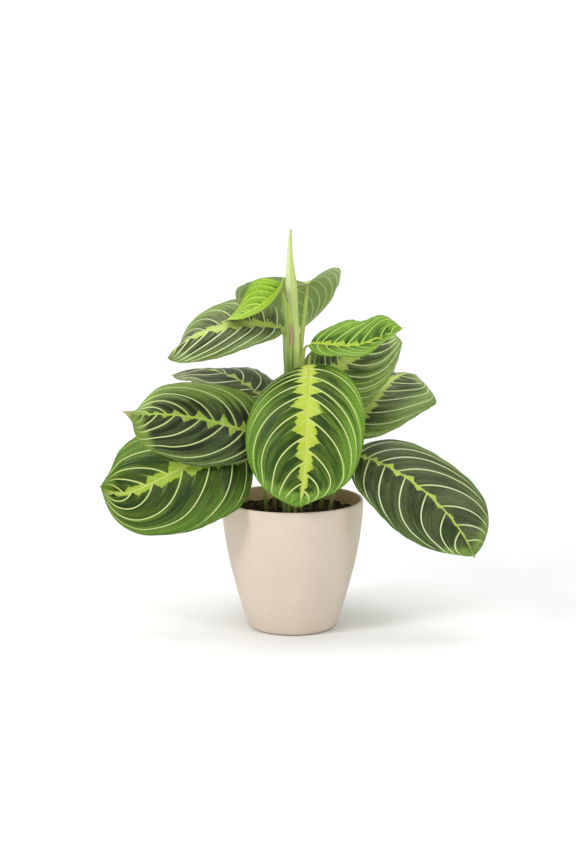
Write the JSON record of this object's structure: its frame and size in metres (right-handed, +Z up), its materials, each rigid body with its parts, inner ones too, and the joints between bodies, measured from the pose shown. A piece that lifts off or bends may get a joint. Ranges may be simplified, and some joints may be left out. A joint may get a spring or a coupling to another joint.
{
  "type": "potted prayer plant",
  "caption": "Prayer plant with broad patterned leaves on thin stalks around an upright shoot with a rolled new leaf, growing in soil in a plain tapered round pot.",
  "frame": {"origin": "centre of the pot's flat base, on the surface the pot stands on", "axes": "+Z up, -Y towards the front, where the large front leaf hangs, +X to the right seen from the front"},
  "size_m": [0.3454, 0.191, 0.3675],
  "materials": {
    "pot": "matte warm beige plastic with fine speckles",
    "soil": "dark brown moist potting mix",
    "shoot": "smooth light green stem and rolled leaf",
    "leaf": "satin leaf, dark green blotches, lime middle band and pale veins",
    "young_leaf": "satin bright green young leaf"
  },
  "bodies": {
    "root": {"pot": "pot", "soil": "soil", "main_shoot": "shoot", "leaf_front": "leaf", "leaf_left_middle": "leaf", "leaf_left_low": "leaf", "leaf_right_low": "leaf", "leaf_right_middle": "leaf", "leaf_right_dark": "leaf", "leaf_right_small": "leaf", "leaf_left_high": "leaf", "leaf_young": "young_leaf", "leaf_back_top": "leaf", "leaf_left_back": "leaf", "leaf_rear_low": "leaf", "leaf_rear_left": "leaf"}
  },
  "joints": []
}
